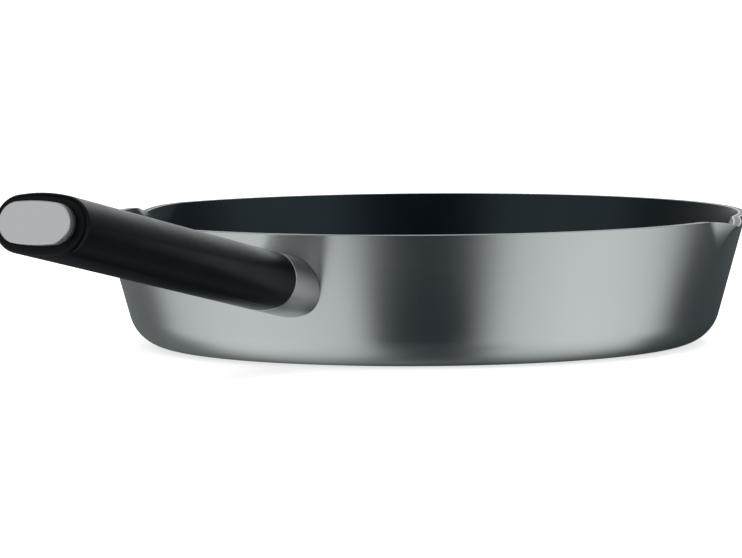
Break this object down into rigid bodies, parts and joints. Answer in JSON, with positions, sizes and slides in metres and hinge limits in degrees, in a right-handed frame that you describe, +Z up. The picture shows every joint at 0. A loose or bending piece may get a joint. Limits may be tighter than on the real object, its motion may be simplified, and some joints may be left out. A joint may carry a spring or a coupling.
{
  "type": "omelette pan",
  "caption": "Round shallow frying pan with a leaning wall, a ground rim, pouring lips on both sides and a straight oval grip with a metal end cap.",
  "frame": {"origin": "centre of the base's flat underside", "axes": "+Z up out of the pan, the handle points along -Y, +X to the right of someone who stands at the handle's end"},
  "size_m": [0.248, 0.4132, 0.0727],
  "materials": {
    "polished_steel": "polished stainless steel",
    "satin_steel": "satin stainless steel",
    "plain_steel": "plain stainless steel, not seen",
    "core_aluminium": "bare ground edge at the rim",
    "nonstick_coating": "satin black non-stick coating",
    "black_phenolic": "satin black moulded phenolic resin",
    "black_rubber": "black silicone rubber"
  },
  "bodies": {
    "root": {"outer_skin": "polished_steel", "heat_core": "core_aluminium", "inner_skin": "polished_steel", "nonstick_lining": "nonstick_coating", "handle_bracket": "plain_steel", "bracket_weld": "plain_steel", "flame_guard": "polished_steel", "heat_gasket": "black_rubber", "locating_pins": "plain_steel", "grip_sleeve": "black_phenolic", "tie_screw": "plain_steel", "clamp_washer": "plain_steel", "spring_washer": "plain_steel", "cap_collar": "satin_steel", "end_cap": "satin_steel", "cap_seal": "black_rubber", "cap_clip": "plain_steel"}
  },
  "joints": []
}
